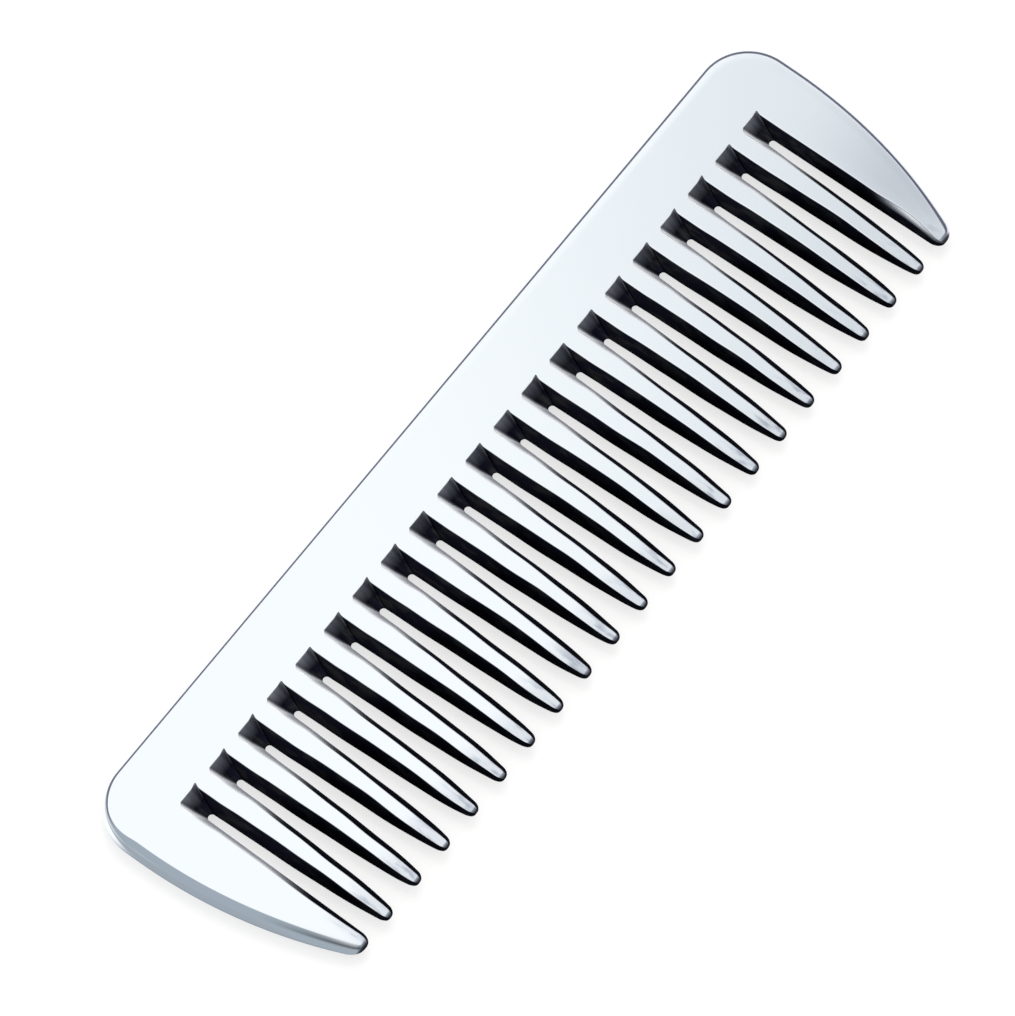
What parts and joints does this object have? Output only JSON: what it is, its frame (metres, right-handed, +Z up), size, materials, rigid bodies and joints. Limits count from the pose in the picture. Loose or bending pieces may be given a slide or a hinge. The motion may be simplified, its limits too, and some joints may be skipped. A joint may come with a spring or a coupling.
{
  "type": "hair comb",
  "caption": "Small flat cast aluminium hair comb: straight solid back, tapered teeth and a wide guard at each end.",
  "frame": {"origin": "centre of the comb's outline, on its flat underside", "axes": "+X along the back, +Y from the teeth towards the back, +Z up through the thickness"},
  "size_m": [0.102, 0.029, 0.0025],
  "materials": {
    "polished_aluminium": "cast and polished, softly brushed towards the tips"
  },
  "bodies": {
    "root": {"comb_back": "polished_aluminium", "guard_left": "polished_aluminium", "guard_right": "polished_aluminium", "tooth_01": "polished_aluminium", "tooth_02": "polished_aluminium", "tooth_03": "polished_aluminium", "tooth_04": "polished_aluminium", "tooth_05": "polished_aluminium", "tooth_06": "polished_aluminium", "tooth_07": "polished_aluminium", "tooth_08": "polished_aluminium", "tooth_09": "polished_aluminium", "tooth_10": "polished_aluminium", "tooth_11": "polished_aluminium", "tooth_12": "polished_aluminium", "tooth_13": "polished_aluminium", "tooth_14": "polished_aluminium", "tooth_15": "polished_aluminium", "tooth_16": "polished_aluminium", "tooth_17": "polished_aluminium", "tooth_18": "polished_aluminium", "tooth_19": "polished_aluminium", "tooth_20": "polished_aluminium"}
  },
  "joints": []
}
